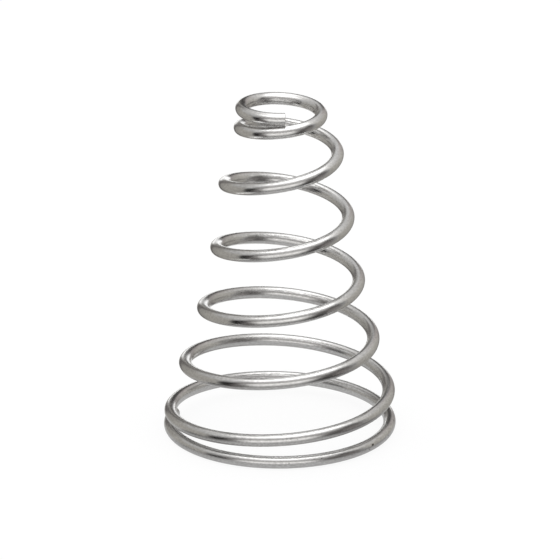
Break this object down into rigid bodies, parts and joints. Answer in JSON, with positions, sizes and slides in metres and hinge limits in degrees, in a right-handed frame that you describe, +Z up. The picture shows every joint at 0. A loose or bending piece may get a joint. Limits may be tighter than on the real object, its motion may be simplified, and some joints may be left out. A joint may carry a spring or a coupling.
{
  "type": "conical spring",
  "caption": "Conical compression spring of round steel wire, wide at the base and narrow at the top, with closed unground ends that seat on flat faces or round a boss.",
  "frame": {"origin": "on the axis of the end turns, in the plane that the base turn stands on", "axes": "+Z up along the axis from the wide base turn to the narrow top turn; -Y toward the viewer of the picture, +X to the viewer's right"},
  "size_m": [0.03, 0.03, 0.0444],
  "materials": {
    "spring_wire": "bright drawn spring wire, smooth, with fine die lines along its length"
  },
  "bodies": {
    "root": {"conical_spring": "spring_wire"}
  },
  "joints": []
}
